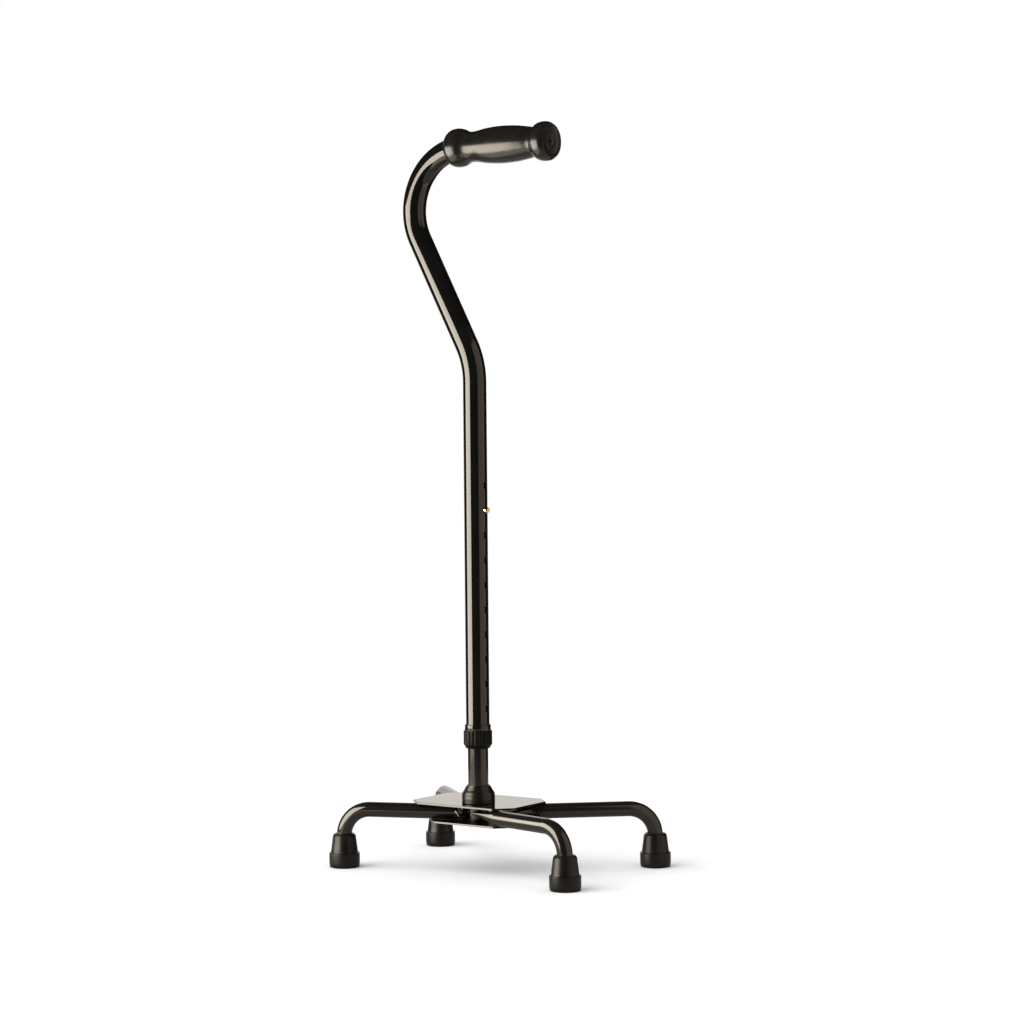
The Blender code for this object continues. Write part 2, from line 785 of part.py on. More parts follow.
def hexagon(radius, height, count):
    """Evenly spaced points round a hexagon, as many as a circle that it joins has."""
    corners = [Vector(corner) for corner in circle(radius, height, 6)]
    points = []
    for i in range(count):
        place = 6 * i / count
        side = int(place)
        points.append(corners[side].lerp(corners[(side + 1) % 6], place - side))
    return points


# Assembly ---------------------------------------------------------------------------
def build():
    clear_scene()
    finishes = make_materials()
    shaft = add_empty("shaft_axis", SHAFT)
    handle = add_empty("handle_axis", (0.0, 0.0, 0.0), shaft)
    nut = add_empty("lock_nut_axis", (0.0, 0.0, 0.0), shaft)
    button = add_empty("button_axis", (0.0, 0.0, BUTTON_Z), shaft)

    make_handle_tube(finishes["gloss_black"], handle)
    make_grip(finishes["grip_vinyl"], handle)
    make_tube_plug(finishes["clear_plastic"], handle)
    make_collar_sleeve(finishes["collar_plastic"], handle)
    make_lock_nut(finishes["collar_plastic"], nut)
    make_collar_inserts(finishes, nut, shaft)

    make_post(finishes, shaft)
    make_button(finishes["brass"], button)
    make_clip(finishes["steel"], shaft)

    for name in LEGS:
        make_leg(name, finishes["satin_black"], None)
        make_tip(name, finishes, None)
    make_plates(finishes, None)
    make_boss(finishes["collar_plastic"], shaft)
    make_post_fixing(finishes, shaft)


build()
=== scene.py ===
"""Looks of the walking cane: fine meshes, materials, studio light and camera, built round
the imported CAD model. Metres, in the CAD model's frame."""

import json
from math import cos, hypot, pi, radians, sin, sqrt, tan

import bmesh
import bpy
from mathutils import Matrix, Vector


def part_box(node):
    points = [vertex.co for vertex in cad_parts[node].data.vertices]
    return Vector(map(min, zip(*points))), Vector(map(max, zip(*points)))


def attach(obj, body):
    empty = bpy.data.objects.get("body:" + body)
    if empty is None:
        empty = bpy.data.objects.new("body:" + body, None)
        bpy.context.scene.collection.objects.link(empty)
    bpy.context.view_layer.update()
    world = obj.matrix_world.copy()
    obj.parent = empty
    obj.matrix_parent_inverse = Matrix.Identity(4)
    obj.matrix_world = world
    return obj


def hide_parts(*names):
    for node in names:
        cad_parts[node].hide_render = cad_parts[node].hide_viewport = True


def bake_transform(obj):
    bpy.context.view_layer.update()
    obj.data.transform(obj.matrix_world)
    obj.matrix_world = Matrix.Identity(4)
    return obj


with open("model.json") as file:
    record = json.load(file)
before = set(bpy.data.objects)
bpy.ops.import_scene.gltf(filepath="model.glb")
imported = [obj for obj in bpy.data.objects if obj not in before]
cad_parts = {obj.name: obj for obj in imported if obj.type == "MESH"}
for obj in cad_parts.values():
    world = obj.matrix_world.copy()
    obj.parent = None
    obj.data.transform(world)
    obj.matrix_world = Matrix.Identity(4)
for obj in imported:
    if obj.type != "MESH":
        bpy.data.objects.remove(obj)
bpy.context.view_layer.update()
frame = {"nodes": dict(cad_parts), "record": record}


# Dimensions: read from the frame, or else the CAD model's own -------------------------
def low(node):
    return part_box(node)[0]


def high(node):
    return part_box(node)[1]


def middle(node):
    return (low(node) + high(node)) / 2


GAP = 0.0003
SHAFT = Vector((middle("post_tube").x, middle("post_tube").y, 0.0))

TUBE_R = high("handle_tube").y - SHAFT.y
TUBE_WALL = 0.00125
TUBE_BORE_R = TUBE_R - TUBE_WALL
TUBE_BOTTOM_Z = low("handle_tube").z
TUBE_END_X = high("handle_tube").x
OFFSET_BEND_Z = 0.5022
OFFSET_BEND_R = 0.083
LEAN = radians(27.7)
LEAN_LENGTH = 0.1236
CROOK_R = 0.06235

POST_R = high("post_tube").y - SHAFT.y
POST_BORE_R = POST_R - TUBE_WALL
POST_CLEAR_R = POST_R + 0.0004
BOLT_CLEAR_R = 0.0042
POST_BOTTOM_Z, POST_TOP_Z = low("post_tube").z, high("post_tube").z

HOLE_PITCH = 0.0254
HOLE_COUNT = 10
HOLE_R = 0.0036
HOLE_CHAMFER = 0.0003
BUTTON_Z = middle("snap_button").z
BUTTON_R = 0.00325
BUTTON_FLANGE_R = high("snap_button").z - BUTTON_Z
BUTTON_TIP_X, BUTTON_BACK_X = high("snap_button").x, low("snap_button").x
TOP_HOLE_Z = BUTTON_Z + HOLE_PITCH

LEG_R = 0.0079
LEG_WALL = 0.0015
LEG_Z = high("leg_far_left").z - LEG_R
LEG_BOTTOM_Z = low("leg_far_left").z
LEG_BEND_R = 0.028
FLAT_LENGTH = 0.006
FLAT_HALF_WIDTH = 0.0112
FLAT_HALF_THICKNESS = 0.0017
# Each leg's heading in plan, how far its flat end stops short of the shaft along X, how far
# that end is pressed down, and the length over which the tube turns flat.
LEGS = {
    "near_left": (radians(20.4), 0.0125, 0.0035, 0.006),
    "near_right": (radians(180 - 14.2), 0.0134, -0.0034, 0.022),
    "far_left": (radians(-41.5), 0.0195, 0.0, 0.028),
    "far_right": (radians(180 + 41.5), 0.0185, 0.0, 0.028),
}

TUBE_SIDES = 64
TURNED_SIDES = 96
LEG_SIDES = 40
FILLET_STEPS = 4


# Materials ----------------------------------------------------------------------------
class Finish:
    """A Principled material whose detail comes from noises in the object's own space."""

    def __init__(self, name, metallic=0.0, tint=(1.0, 1.0, 1.0)):
        self.material = bpy.data.materials.new(name)
        self.material.use_nodes = True
        self.tree = self.material.node_tree
        self.shader = self.tree.nodes["Principled BSDF"]
        self.shader.inputs["Metallic"].default_value = metallic
        self.shader.inputs["IOR"].default_value = 1.5
        self.shader.inputs["Specular Tint"].default_value = (*tint, 1.0)
        self.place = self.add("ShaderNodeTexCoord").outputs["Object"]
        self.normal = None

    def add(self, kind, **values):
        node = self.tree.nodes.new(kind)
        for key, value in values.items():
            setattr(node, key, value)
        return node

    def join(self, source, target):
        self.tree.links.new(source, target)

    def noise(self, scale, detail=3.0, stretch=(1.0, 1.0, 1.0)):
        """Noise with so many features to a metre, longer along an axis of small stretch."""
        mapping = self.add("ShaderNodeMapping")
        mapping.inputs["Scale"].default_value = stretch
        self.join(self.place, mapping.inputs["Vector"])
        node = self.add("ShaderNodeTexNoise")
        node.inputs["Scale"].default_value = scale
        node.inputs["Detail"].default_value = detail
        self.join(mapping.outputs["Vector"], node.inputs["Vector"])
        return node.outputs["Fac"]

    def spread(self, source, to_low, to_high, from_low=0.3, from_high=0.7):
        """Maps a value's range, by default a noise's, to the range from to_low to to_high."""
        node = self.add("ShaderNodeMapRange")
        node.inputs["From Min"].default_value = from_low
        node.inputs["From Max"].default_value = from_high
        node.inputs["To Min"].default_value = to_low
        node.inputs["To Max"].default_value = to_high
        self.join(source, node.inputs["Value"])
        return node.outputs["Result"]

    def sum_of(self, first, second):
        node = self.add("ShaderNodeMath", operation="ADD")
        self.join(first, node.inputs[0])
        self.join(second, node.inputs[1])
        return node.outputs["Value"]

    def colour(self, dark, light, source, from_low=0.3, from_high=0.7):
        node = self.add("ShaderNodeMix", data_type="RGBA")
        node.inputs["A"].default_value = (*dark, 1.0)
        node.inputs["B"].default_value = (*light, 1.0)
        self.join(self.spread(source, 0.0, 1.0, from_low, from_high), node.inputs["Factor"])
        self.join(node.outputs["Result"], self.shader.inputs["Base Color"])

    def roughness(self, source):
        self.join(source, self.shader.inputs["Roughness"])

    def bump(self, source, depth):
        """Relief of the given depth in metres. Later bumps add to the earlier ones."""
        node = self.add("ShaderNodeBump")
        node.inputs["Distance"].default_value = depth
        self.join(source, node.inputs["Height"])
        if self.normal:
            self.join(self.normal, node.inputs["Normal"])
        self.normal = node.outputs["Normal"]
        self.join(self.normal, self.shader.inputs["Normal"])


WARM = (1.0, 0.93, 0.84)  # tint of the black finishes' reflections


def gloss_paint(name, dark, light, smooth, rough, peel):
    """Sprayed gloss black: faint handling marks, and an orange peel of the given depth."""
    made = Finish(name, tint=WARM)
    made.colour(dark, light, made.noise(35.0))
    marks = made.spread(made.noise(55.0, 6.0), smooth, rough)
    grain = made.spread(made.noise(1600.0, 2.0), -0.004, 0.004)
    made.roughness(made.sum_of(marks, grain))
    made.bump(made.noise(420.0, 2.0), peel)
    return made.material


def drawn_metal(name, dark, light, smooth, rough):
    """Dark satin tube with fine lines drawn along its length."""
    made = Finish(name, tint=WARM)
    lines = made.noise(2600.0, 3.0, (1.0, 1.0, 0.012))
    made.colour(dark, light, made.noise(50.0))
    made.roughness(made.sum_of(
        made.spread(lines, smooth, rough), made.spread(made.noise(70.0, 5.0), 0.0, 0.04)
    ))
    made.bump(lines, 0.000002)
    return made.material


def moulded(name, dark, light, smooth, rough, grain_scale, grain_depth, shine, tint=WARM):
    """Moulded plastic or rubber with a fine grain and a slow change in its gloss."""
    made = Finish(name, tint=tint)
    made.shader.inputs["Specular IOR Level"].default_value = shine
    made.colour(dark, light, made.noise(90.0, 5.0))
    made.roughness(made.sum_of(
        made.spread(made.noise(60.0, 4.0), smooth, rough),
        made.spread(made.noise(grain_scale * 0.6, 2.0), -0.02, 0.03),
    ))
    made.bump(made.noise(140.0, 2.0), grain_depth * 1.5)
    made.bump(made.noise(grain_scale, 3.0), grain_depth)
    return made.material


def turned_brass():
    made = Finish("polished_brass", metallic=1.0)
    made.colour((0.80, 0.52, 0.17), (0.95, 0.70, 0.33), made.noise(900.0, 4.0))
    made.roughness(made.spread(made.noise(2200.0, 3.0), 0.10, 0.24))
    made.bump(made.noise(5200.0, 2.0, (1.0, 0.15, 0.15)), 0.000008)
    return made.material


def plated_steel():
    made = Finish("plated_steel", metallic=1.0)
    made.colour((0.46, 0.46, 0.47), (0.62, 0.62, 0.63), made.noise(500.0, 5.0))
    made.roughness(made.spread(made.noise(1500.0, 4.0), 0.22, 0.42))
    made.bump(made.noise(3000.0, 3.0), 0.00001)
    return made.material


def make_finishes():
    """Materials by the record's slot names, and two more: one for the nut, and a painted
    shade finish for the bottom plate's face between the plates.
    """
    return {
        "handle_tube": gloss_paint(
            "gloss_black_tube", (0.0050, 0.0045, 0.0040), (0.0072, 0.0066, 0.0058),
            smooth=0.05, rough=0.09, peel=0.000002,
        ),
        "leg_tube": gloss_paint(
            "gloss_black_legs", (0.0078, 0.0064, 0.0054), (0.0108, 0.0092, 0.0078),
            smooth=0.09, rough=0.15, peel=0.000004,
        ),
        "base_plate": gloss_paint(
            "gloss_black_plate", (0.0050, 0.0047, 0.0042), (0.0076, 0.0072, 0.0066),
            smooth=0.07, rough=0.13, peel=0.000003,
        ),
        # Darker and duller than the plate's own gloss: painted shade for the face between the
        # two plates.
        "painted_shade_plate": moulded(
            "painted_shade_black_plate", (0.0040, 0.0036, 0.0031), (0.0068, 0.0062, 0.0054),
            smooth=0.40, rough=0.50, grain_scale=2200.0, grain_depth=0.00001, shine=0.04,
        ),
        "post_tube": drawn_metal(
            "satin_black_post", (0.0035, 0.0031, 0.0026), (0.0056, 0.0050, 0.0042),
            smooth=0.09, rough=0.16,
        ),
        "grip": moulded(
            "black_vinyl_grip", (0.0082, 0.0072, 0.0062), (0.0122, 0.0107, 0.0094),
            smooth=0.21, rough=0.28, grain_scale=2600.0, grain_depth=0.000012, shine=0.42,
        ),
        "collar_plastic": moulded(
            "black_collar_plastic", (0.0040, 0.0034, 0.0028), (0.0066, 0.0057, 0.0048),
            smooth=0.26, rough=0.36, grain_scale=2200.0, grain_depth=0.00002, shine=0.33,
        ),
        "tip_rubber": moulded(
            "black_tip_rubber", (0.0040, 0.0032, 0.0028), (0.0064, 0.0052, 0.0045),
            smooth=0.30, rough=0.40, grain_scale=1800.0, grain_depth=0.00003, shine=0.26,
        ),
        "nut_plastic": moulded(
            "black_nut_plastic", (0.0040, 0.0034, 0.0028), (0.0070, 0.0060, 0.0050),
            smooth=0.24, rough=0.34, grain_scale=2200.0, grain_depth=0.00002, shine=0.08,
        ),
        "natural_plastic": moulded(
            "natural_nylon", (0.58, 0.56, 0.51), (0.68, 0.66, 0.61),
            smooth=0.35, rough=0.50, grain_scale=1800.0, grain_depth=0.00002, shine=0.5,
            tint=(1.0, 1.0, 1.0),
        ),
        "brass": turned_brass(),
        "steel": plated_steel(),
    }


FINISHES = make_finishes()


# Mesh helpers -------------------------------------------------------------------------
SHARP_ANGLE = radians(32.0)  # edges bent more than this are shaded sharp


def add_piece(name, bm, body, slot, sharp=SHARP_ANGLE, finish=None):
    """The fine piece that stands for the CAD node of this name, and rides on its body."""
    bmesh.ops.recalc_face_normals(bm, faces=bm.faces)
    mesh = bpy.data.meshes.new("fine_" + name)
    bm.to_mesh(mesh)
    bm.free()
    mesh.shade_smooth()
    mesh.set_sharp_from_angle(angle=sharp)
    mesh.materials.append(FINISHES[finish or slot])
    obj = bpy.data.objects.new("fine_" + name, mesh)
    bpy.context.scene.collection.objects.link(obj)
    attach(obj, body)
    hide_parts(name)
    return obj


def bridge(bm, ring_a, ring_b):
    """A band of faces between two closed rings of vertices."""
    count = len(ring_a)
    for i in range(count):
        j = (i + 1) % count
        bm.faces.new((ring_a[i], ring_a[j], ring_b[j], ring_b[i]))


def loft(rings, closed_loop=False):
    """A solid through rings of points: capped at its ends, or joined back on itself."""
    bm = bmesh.new()
    made = [[bm.verts.new(point) for point in ring] for ring in rings]
    for ring_a, ring_b in zip(made, made[1:]):
        bridge(bm, ring_a, ring_b)
    if closed_loop:
        bridge(bm, made[-1], made[0])
    else:
        bm.faces.new(made[0])
        bm.faces.new(made[-1])
    return bm


def filleted(corners, closed=True):
    """Profile points from corners (a, b, fillet radius)."""
    points = []
    for i, (a, b, radius) in enumerate(corners):
        here = Vector((a, b))
        if radius == 0.0 or (not closed and i in (0, len(corners) - 1)):
            points.append(here)
            continue
        before = (Vector(corners[i - 1][:2]) - here).normalized()
        after = (Vector(corners[(i + 1) % len(corners)][:2]) - here).normalized()
        half = before.angle(after) / 2
        centre = here + (before + after).normalized() * (radius / sin(half))
        start = (here + before * (radius / tan(half)) - centre).normalized()
        end = (here + after * (radius / tan(half)) - centre).normalized()
        for step in range(FILLET_STEPS + 1):
            points.append(centre + radius * start.slerp(end, step / FILLET_STEPS))
    return points


def smooth_line(stations, steps):
    """Points on a Catmull-Rom curve through the stations."""
    points = []
    count = len(stations)
    for i in range(count - 1):
        p0, p1 = Vector(stations[max(i - 1, 0)]), Vector(stations[i])
        p2, p3 = Vector(stations[i + 1]), Vector(stations[min(i + 2, count - 1)])
        for step in range(steps):
            t = step / steps
            points.append(
                0.5 * (2 * p1 + (p2 - p0) * t + (2 * p0 - 5 * p1 + 4 * p2 - p3) * t * t
                       + (3 * p1 - p0 - 3 * p2 + p3) * t * t * t)
            )
    points.append(Vector(stations[-1]))
    return points


def turned(profile, centre, axis="Z", hollow=True, sides=TURNED_SIDES):
    """Turned solid. Profile points are (radius, position along the axis)."""
    rings = []
    for radius, place in profile:
        ring = []
        for i in range(sides):
            turn = 2 * pi * i / sides
            a, b = radius * cos(turn), radius * sin(turn)
            offset = Vector((a, b, place)) if axis == "Z" else Vector((place, a, b))
            ring.append(centre + offset)
        rings.append(ring)
    return loft(rings, closed_loop=hollow)


def cut_by(obj, bm):
    """Cuts obj with a closed mesh, and leaves no modifier and no cutter behind."""
    bmesh.ops.recalc_face_normals(bm, faces=bm.faces)
    mesh = bpy.data.meshes.new("cutter")
    bm.to_mesh(mesh)
    bm.free()
    cutter = bpy.data.objects.new("cutter", mesh)
    bpy.context.scene.collection.objects.link(cutter)
    modifier = obj.modifiers.new("cut", "BOOLEAN")
    modifier.operation = "DIFFERENCE"
    modifier.solver = "EXACT"
    modifier.object = cutter
    graph = bpy.context.evaluated_depsgraph_get()
    result = bpy.data.meshes.new_from_object(obj.evaluated_get(graph), depsgraph=graph)
    obj.modifiers.remove(modifier)
    bpy.data.objects.remove(cutter)
    old = obj.data
    obj.data = result
    bpy.data.meshes.remove(old)
    obj.data.name = obj.name


def cylinder(radius, start, end):
    along = (end - start).normalized()
    side = along.orthogonal().normalized()
    other = along.cross(side)
    rings = []
    for centre in (start, end):
        ring = []
        for i in range(TUBE_SIDES):
            turn = 2 * pi * i / TUBE_SIDES
            ring.append(centre + radius * (cos(turn) * side + sin(turn) * other))
        rings.append(ring)
    return loft(rings)


# Tubes with drilled holes -------------------------------------------------------------
BLOCK = 8  # a hole takes this many sides and levels of the tube's grid
GRID_R = 0.0121
BLOCK_STEP = 2 * pi * GRID_R / TUBE_SIDES  # one side of the grid at that radius
TUBE_END_ROUNDING = 0.00035


def path_frames(path):
    """(centre, direction across) at each point (x, z) of a path in the plane Y = 0."""
    frames = []
    for i, (x, z) in enumerate(path):
        before, after = path[max(i - 1, 0)], path[min(i + 1, len(path) - 1)]
        dx, dz = after[0] - before[0], after[1] - before[1]
        length = hypot(dx, dz)
        frames.append((Vector((x, 0.0, z)), Vector((dz / length, 0.0, -dx / length))))
    return frames


def ring_across(centre, across, radius):
    """Points round a tube, with centre given from the foot of the shaft."""
    points = []
    for i in range(TUBE_SIDES):
        turn = 2 * pi * i / TUBE_SIDES
        side = Vector((0.0, radius * sin(turn), 0.0))
        points.append(SHAFT + centre + across * radius * cos(turn) + side)
    return points


def open_hole(bm, outer, inner, first_level, height, sign, radii):
    """Swaps a block of faces of both walls for a round hole with a chamfered mouth."""
    outer_r, inner_r = radii
    middle_side = 0 if sign > 0 else TUBE_SIDES // 2
    half = BLOCK // 2
    edge = [(level, -half) for level in range(BLOCK)]
    edge += [(BLOCK, side) for side in range(-half, half)]
    edge += [(level, half) for level in range(BLOCK, 0, -1)]
    edge += [(0, side) for side in range(half, -half, -1)]

    def vertex(grid, level, side):
        return grid[first_level + level][(middle_side + side) % TUBE_SIDES]

    for grid in (outer, inner):
        inside = [
            vertex(grid, level, side)
            for level in range(1, BLOCK)
            for side in range(1 - half, half)
        ]
        bmesh.ops.delete(bm, geom=inside, context="VERTS")
    rings = [[vertex(outer, *place) for place in edge]]
    mouths = [
        (HOLE_R + HOLE_CHAMFER, outer_r),
        (HOLE_R, outer_r - HOLE_CHAMFER),
        (HOLE_R, inner_r),
    ]
    # The sides run the other way across on the far wall, so their place across is signed.
    places = [
        (sign * side * BLOCK_STEP, (level - half) * BLOCK_STEP) for level, side in edge
    ]
    for radius, out in mouths:
        ring = []
        for across, up in places:
            length = hypot(across, up)
            y, z = radius * across / length, radius * up / length
            place = Vector((sign * sqrt(out * out - y * y), y, height + z))
            ring.append(bm.verts.new(SHAFT + place))
        rings.append(ring)
    rings.append([vertex(inner, *place) for place in edge])
    for ring_a, ring_b in zip(rings, rings[1:]):
        bridge(bm, ring_a, ring_b)


def drilled_tube(path, outer_r, inner_r, holes):
    """Tube along a path of (x, z) points, with holes (height, sides) in its straight run."""
    frames = path_frames(path)
    last = len(frames) - 1
    end_shifts = {0: TUBE_END_ROUNDING, last: -TUBE_END_ROUNDING}
    bm = bmesh.new()

    def made_ring(place, radius, shift):
        centre, across = frames[place]
        along = Vector((-across.z, 0.0, across.x)) * shift
        return [bm.verts.new(p) for p in ring_across(centre + along, across, radius)]

    outer, inner = (
        [made_ring(i, radius, end_shifts.get(i, 0.0)) for i in range(len(frames))]
        for radius in (outer_r, inner_r)
    )
    for grid in (outer, inner):
        for ring_a, ring_b in zip(grid, grid[1:]):
            bridge(bm, ring_a, ring_b)
    for place in end_shifts:
        rings = [
            outer[place],
            made_ring(place, outer_r - TUBE_END_ROUNDING, 0.0),
            made_ring(place, inner_r + TUBE_END_ROUNDING, 0.0),
            inner[place],
        ]
        for ring_a, ring_b in zip(rings, rings[1:]):
            bridge(bm, ring_a, ring_b)
    for height, signs in holes:
        start_z = height - BLOCK // 2 * BLOCK_STEP
        first = min(range(len(path)), key=lambda i: abs(path[i][1] - start_z))
        for sign in signs:
            open_hole(bm, outer, inner, first, height, sign, (outer_r, inner_r))
    return bm


def straight_levels(bottom, top, hole_heights):
    """Heights up a straight run: the hole blocks' own levels, and the run's two ends."""
    heights = [bottom]
    for centre in sorted(hole_heights):
        for step in range(-(BLOCK // 2), BLOCK // 2 + 1):
            heights.append(centre + step * BLOCK_STEP)
    heights.append(top)
    return heights


def arc(centre, radius, start, end, steps):
    """Points (x, z) on an arc, without its first point."""
    points = []
    for i in range(1, steps + 1):
        turn = start + (end - start) * i / steps
        points.append((centre[0] + radius * cos(turn), centre[1] + radius * sin(turn)))
    return points


# Handle tube and grip -----------------------------------------------------------------
BEND_STEPS = 18
CROOK_STEPS = 56
crook_start = (
    -OFFSET_BEND_R * (1 - cos(LEAN)) - LEAN_LENGTH * sin(LEAN),
    OFFSET_BEND_Z + OFFSET_BEND_R * sin(LEAN) + LEAN_LENGTH * cos(LEAN),
)
crook_centre = (crook_start[0] + CROOK_R * cos(LEAN), crook_start[1] + CROOK_R * sin(LEAN))
GRIP_Z = crook_centre[1] + CROOK_R
HOLE_HEIGHTS = [TOP_HOLE_Z - i * HOLE_PITCH for i in range(HOLE_COUNT)]


def handle_path(heights, end_x):
    points = [(0.0, z) for z in heights]
    points += arc((-OFFSET_BEND_R, OFFSET_BEND_Z), OFFSET_BEND_R, 0.0, LEAN, BEND_STEPS)
    points.append(crook_start)
    points += arc(crook_centre, CROOK_R, pi + LEAN, pi / 2, CROOK_STEPS)
    points.append((end_x, GRIP_Z))
    return points


def make_handle_tube():
    heights = straight_levels(TUBE_BOTTOM_Z, OFFSET_BEND_Z, HOLE_HEIGHTS)
    path = handle_path(heights, TUBE_END_X)
    holes = [(z, (1, -1)) for z in HOLE_HEIGHTS]
    bm = drilled_tube(path, TUBE_R, TUBE_BORE_R, holes)
    add_piece("handle_tube", bm, "handle", "handle_tube")


GRIP_START_X, GRIP_END_X = low("handle_grip").x, high("handle_grip").x
# (place along the axis, radius), from the bulge at the back to the end flange.
GRIP_STATIONS = [
    (-0.0250, 0.0168),
    (-0.0215, 0.0190),
    (-0.0160, 0.0198),
    (-0.0100, 0.0188),
    (-0.0050, 0.0165),
    (0.0005, 0.0154),
    (0.0080, 0.0160),
    (0.0200, 0.0179),
    (0.0370, 0.0189),
    (0.0540, 0.0182),
    (0.0680, 0.0164),
    (0.0765, 0.0150),
    (0.0795, 0.0160),
    (0.0830, 0.0187),
    (0.0880, 0.01984),
    (0.0930, 0.0195),
    (0.0962, 0.0178),
]


def make_grip():
    """Turned grip: rounded back, waisted hand part, flange and a dished end face."""
    profile = [(0.0130, GRIP_START_X), (0.0146, GRIP_START_X + 0.0001)]
    profile += [(r, x) for x, r in smooth_line(GRIP_STATIONS, 6)]
    face = GRIP_END_X
    profile += filleted([
        (0.0172, face, 0.0), (0.0150, face, 0.0004), (0.0142, face - 0.0010, 0.0004),
        (0.0088, face - 0.0012, 0.0), (0.0083, face - 0.0006, 0.0002),
        (0.0071, face - 0.0006, 0.0002), (0.0066, face - 0.0012, 0.0),
        (0.0018, face - 0.0012, 0.0002), (0.0016, face - 0.0045, 0.0),
        (0.0003, face - 0.0050, 0.0),
    ], closed=False)
    centre = Vector((0.0, SHAFT.y, GRIP_Z))
    grip = add_piece(
        "handle_grip", turned(profile, centre, "X", hollow=False), "handle", "grip"
    )
    path = handle_path([OFFSET_BEND_Z - 0.01, OFFSET_BEND_Z], TUBE_END_X + 2 * GAP)
    rings = [ring_across(c, a, TUBE_R + GAP / 3) for c, a in path_frames(path)]
    cut_by(grip, loft(rings))
    grip.data.shade_smooth()
    grip.data.set_sharp_from_angle(angle=SHARP_ANGLE)


# Height lock collar -------------------------------------------------------------------
SLEEVE_TOP_Z, SLEEVE_BOTTOM_Z = high("collar_sleeve").z, low("collar_sleeve").z
SLEEVE_R = high("collar_sleeve").y - SHAFT.y
THREAD_R = 0.0129
NUT_TOP_Z, NUT_BOTTOM_Z = high("lock_nut").z, low("lock_nut").z
NUT_R = 0.0147
NUT_VALLEY_R = 0.0140
NUT_LIP_R = 0.0131
NUT_BORE_R = THREAD_R + GAP
NUT_FLUTES = 18
LIP_THICKNESS = 0.0022


def make_collar_sleeve():
    clear_r = TUBE_R + GAP / 3
    shoulder_z = TUBE_BOTTOM_Z - GAP
    profile = filleted([
        (clear_r, SLEEVE_TOP_Z, 0.0001),
        (SLEEVE_R, SLEEVE_TOP_Z, 0.0007),
        (SLEEVE_R, NUT_TOP_Z + GAP, 0.0003),
        (THREAD_R, NUT_TOP_Z + GAP, 0.0),
        (THREAD_R, SLEEVE_BOTTOM_Z, 0.0004),
        (POST_CLEAR_R, SLEEVE_BOTTOM_Z, 0.0003),
        (POST_CLEAR_R, shoulder_z, 0.0),
        (clear_r, shoulder_z, 0.0),
    ])
    add_piece("collar_sleeve", turned(profile, SHAFT), "handle", "handle_tube")


def make_lock_nut():
    """Nut with soft-edged flutes that fade out at its rims."""
    lip_z = NUT_BOTTOM_Z + LIP_THICKNESS
    corners = [
        (NUT_BORE_R, NUT_TOP_Z, 0.0),
        (NUT_R, NUT_TOP_Z, 0.0009),
        (NUT_R, NUT_BOTTOM_Z + 0.0038, 0.0006),
        (NUT_LIP_R + 0.0003, NUT_BOTTOM_Z + 0.0024, 0.0003),
        (NUT_LIP_R, NUT_BOTTOM_Z + 0.0012, 0.0002),
        (NUT_LIP_R - 0.0010, NUT_BOTTOM_Z, 0.0004),
        (POST_CLEAR_R, NUT_BOTTOM_Z, 0.0002),
        (POST_CLEAR_R, lip_z, 0.0),
        (NUT_BORE_R, lip_z, 0.0),
    ]
    sides_per_flute = 12
    sides = NUT_FLUTES * sides_per_flute
    rings = []
    for radius, z in filleted(corners):
        # Flutes are cut only where the profile reaches past their floor.
        ring = []
        for i in range(sides):
            turn = 2 * pi * i / sides
            wave = 0.5 - 0.5 * cos(NUT_FLUTES * turn)
            floor = NUT_VALLEY_R + (NUT_R - NUT_VALLEY_R) * (1 - wave ** 3)
            r = min(radius, floor)
            ring.append(SHAFT + Vector((r * cos(turn), r * sin(turn), z)))
        rings.append(ring)
    bm = loft(rings, closed_loop=True)
    add_piece("lock_nut", bm, "lock_nut", "collar_plastic", finish="nut_plastic")


# Post, button and boss ----------------------------------------------------------------
def make_post():
    heights = straight_levels(POST_BOTTOM_Z, POST_TOP_Z, [BUTTON_Z])
    path = [(0.0, z) for z in heights]
    bm = drilled_tube(path, POST_R, POST_BORE_R, [(BUTTON_Z, (1,))])
    add_piece("post_tube", bm, "base", "post_tube")


def make_button():
    shoulder_x = BUTTON_TIP_X - BUTTON_R
    flange_x = BUTTON_BACK_X + 0.0010
    profile = filleted([
        (0.0002, BUTTON_BACK_X, 0.0),
        (BUTTON_FLANGE_R, BUTTON_BACK_X, 0.0002),
        (BUTTON_FLANGE_R, flange_x, 0.0002),
        (BUTTON_R, flange_x, 0.0),
        (BUTTON_R, shoulder_x, 0.0),
    ], closed=False)
    dome_steps = 14
    for i in range(1, dome_steps):
        turn = pi / 2 * i / dome_steps
        profile.append((BUTTON_R * cos(turn), shoulder_x + BUTTON_R * sin(turn)))
    centre = Vector((0.0, SHAFT.y, BUTTON_Z))
    bm = turned(profile, centre, "X", hollow=False, sides=TUBE_SIDES)
    add_piece("snap_button", bm, "button", "brass")


def make_clip():
    """V spring in the post, its CAD mesh copied in one fixed shape with the steel finish; the
    real spring's near leaf bends back as the button goes in.
    """
    node = frame["nodes"]["snap_clip"]
    mesh = node.data.copy()
    mesh.name = "fine_snap_clip"
    mesh.transform(node.matrix_world)
    mesh.materials.clear()
    mesh.materials.append(FINISHES["steel"])
    clip = bpy.data.objects.new("fine_snap_clip", mesh)
    bpy.context.scene.collection.objects.link(clip)
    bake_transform(clip)
    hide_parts("snap_clip")


